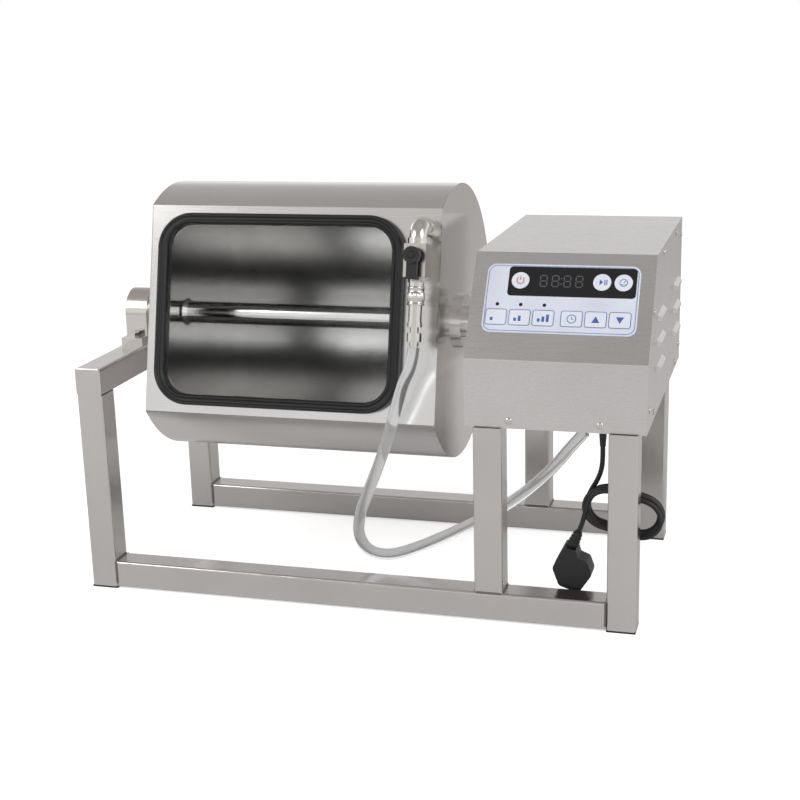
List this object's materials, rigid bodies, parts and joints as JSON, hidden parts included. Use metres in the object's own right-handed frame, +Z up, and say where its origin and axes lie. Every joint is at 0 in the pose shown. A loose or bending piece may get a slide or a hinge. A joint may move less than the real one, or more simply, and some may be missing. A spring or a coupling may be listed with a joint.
{
  "type": "meat vacuum tumbler",
  "caption": "Bench-top vacuum tumbler: a D-shaped stainless drum with a clear lid turns on a through shaft between a welded portal and a control box with a keypad.",
  "frame": {"origin": "centre of the machine's outline on the floor, under the feet", "axes": "+X along the drum shaft from the portal to the control box, +Y to the back, +Z up"},
  "size_m": [0.633, 0.3423, 0.438],
  "materials": {
    "brushed_stainless": "brushed",
    "drum_stainless": "satin, near mirror",
    "bright_fastener": "bright",
    "plated_fitting": "nickel plated",
    "bearing_metal": "cast, satin",
    "bearing_steel": "ground",
    "black_rubber": "satin",
    "cord_jacket": "semi-gloss",
    "black_plastic": "fine grain",
    "clear_pane": "polished",
    "clear_hose": "clear flexible tube",
    "overlay_film": "fine matt film",
    "dark_lens": "gloss",
    "display_plastic": "gloss",
    "key_film": "embossed film",
    "circuit_board": "solder mask",
    "motor_paint": "satin paint",
    "pump_metal": "cast",
    "supply_case": "zinc plated"
  },
  "bodies": {
    "frame": {"front_left_leg": "brushed_stainless", "back_left_leg": "brushed_stainless", "left_top_beam": "brushed_stainless", "front_rail": "brushed_stainless", "back_rail": "brushed_stainless", "front_mid_leg": "brushed_stainless", "back_mid_leg": "brushed_stainless", "front_right_leg": "brushed_stainless", "back_right_leg": "brushed_stainless", "foot_caps": "black_rubber", "left_side_panel": "brushed_stainless", "bent_cover": "brushed_stainless", "base_tray": "brushed_stainless", "back_panel": "brushed_stainless", "right_side_panel": "brushed_stainless", "panel_screws": "bright_fastener", "keypad_overlay": "overlay_film", "display_lens": "dark_lens", "display_and_lamps": "display_plastic", "control_board": "circuit_board", "pillow_block": "bearing_metal", "flange_bearing_housing": "bearing_metal", "bearing_inserts": "bearing_steel", "bearing_bolts": "bright_fastener", "gear_motor": "motor_paint", "vacuum_pump": "pump_metal", "power_supply": "supply_case", "vacuum_port": "plated_fitting", "vacuum_hose": "clear_hose", "cord_gland": "black_plastic", "mains_cord_drop": "cord_jacket", "mains_cord_hank": "cord_jacket", "mains_cord_tail": "cord_jacket", "mains_plug": "black_plastic", "cord_tie": "black_plastic"},
    "drum": {"drum_shell": "drum_stainless", "drum_left_end": "drum_stainless", "drum_right_end": "drum_stainless", "drum_face": "drum_stainless", "centre_shaft": "drum_stainless", "shaft_hubs": "drum_stainless", "elbow": "plated_fitting", "valve_body": "plated_fitting", "coupler_socket": "plated_fitting", "coupler_plug": "plated_fitting", "hose_clamp": "bright_fastener"},
    "lid": {"lid_rim": "black_rubber", "lid_pane": "clear_pane"},
    "valve_lever": {"valve_lever": "black_plastic"},
    "coupler_sleeve": {"coupler_sleeve": "plated_fitting"},
    "power_key": {"power_key": "key_film"},
    "start_stop_key": {"start_stop_key": "key_film"},
    "vacuum_key": {"vacuum_key": "key_film"},
    "low_speed_key": {"low_speed_key": "key_film"},
    "mid_speed_key": {"mid_speed_key": "key_film"},
    "high_speed_key": {"high_speed_key": "key_film"},
    "timer_key": {"timer_key": "key_film"},
    "up_key": {"up_key": "key_film"},
    "down_key": {"down_key": "key_film"}
  },
  "joints": [
    {"name": "drum_spin", "type": "hinge", "parent": "frame", "child": "drum", "pos_m": [-0.244, -0.0159, 0.287], "axis": [1, 0, 0], "continuous": true, "deforming": ["vacuum_hose"]},
    {"name": "lid_lift", "type": "slide", "parent": "drum", "child": "lid", "axis": [0, -0.9694, 0.2453], "range_m": [0, 0.12]},
    {"name": "lever_turn", "type": "hinge", "parent": "drum", "child": "valve_lever", "pos_m": [0.07, -0.1569, 0.38405], "axis": [0, -0.9694, 0.2453], "range_deg": [0, 90]},
    {"name": "sleeve_pull", "type": "slide", "parent": "drum", "child": "coupler_sleeve", "axis": [0, 0.2453, 0.9694], "range_m": [0, 0.004], "stiffness_N_per_m": 800},
    {"name": "power_key_press", "type": "slide", "parent": "frame", "child": "power_key", "axis": [0, 0.8208, -0.5712], "range_m": [0, 0.00035], "stiffness_N_per_m": 2500},
    {"name": "start_stop_key_press", "type": "slide", "parent": "frame", "child": "start_stop_key", "axis": [0, 0.8208, -0.5712], "range_m": [0, 0.00035], "stiffness_N_per_m": 2500},
    {"name": "vacuum_key_press", "type": "slide", "parent": "frame", "child": "vacuum_key", "axis": [0, 0.8208, -0.5712], "range_m": [0, 0.00035], "stiffness_N_per_m": 2500},
    {"name": "low_speed_key_press", "type": "slide", "parent": "frame", "child": "low_speed_key", "axis": [0, 0.8208, -0.5712], "range_m": [0, 0.00035], "stiffness_N_per_m": 2500},
    {"name": "mid_speed_key_press", "type": "slide", "parent": "frame", "child": "mid_speed_key", "axis": [0, 0.8208, -0.5712], "range_m": [0, 0.00035], "stiffness_N_per_m": 2500},
    {"name": "high_speed_key_press", "type": "slide", "parent": "frame", "child": "high_speed_key", "axis": [0, 0.8208, -0.5712], "range_m": [0, 0.00035], "stiffness_N_per_m": 2500},
    {"name": "timer_key_press", "type": "slide", "parent": "frame", "child": "timer_key", "axis": [0, 0.8208, -0.5712], "range_m": [0, 0.00035], "stiffness_N_per_m": 2500},
    {"name": "up_key_press", "type": "slide", "parent": "frame", "child": "up_key", "axis": [0, 0.8208, -0.5712], "range_m": [0, 0.00035], "stiffness_N_per_m": 2500},
    {"name": "down_key_press", "type": "slide", "parent": "frame", "child": "down_key", "axis": [0, 0.8208, -0.5712], "range_m": [0, 0.00035], "stiffness_N_per_m": 2500}
  ]
}
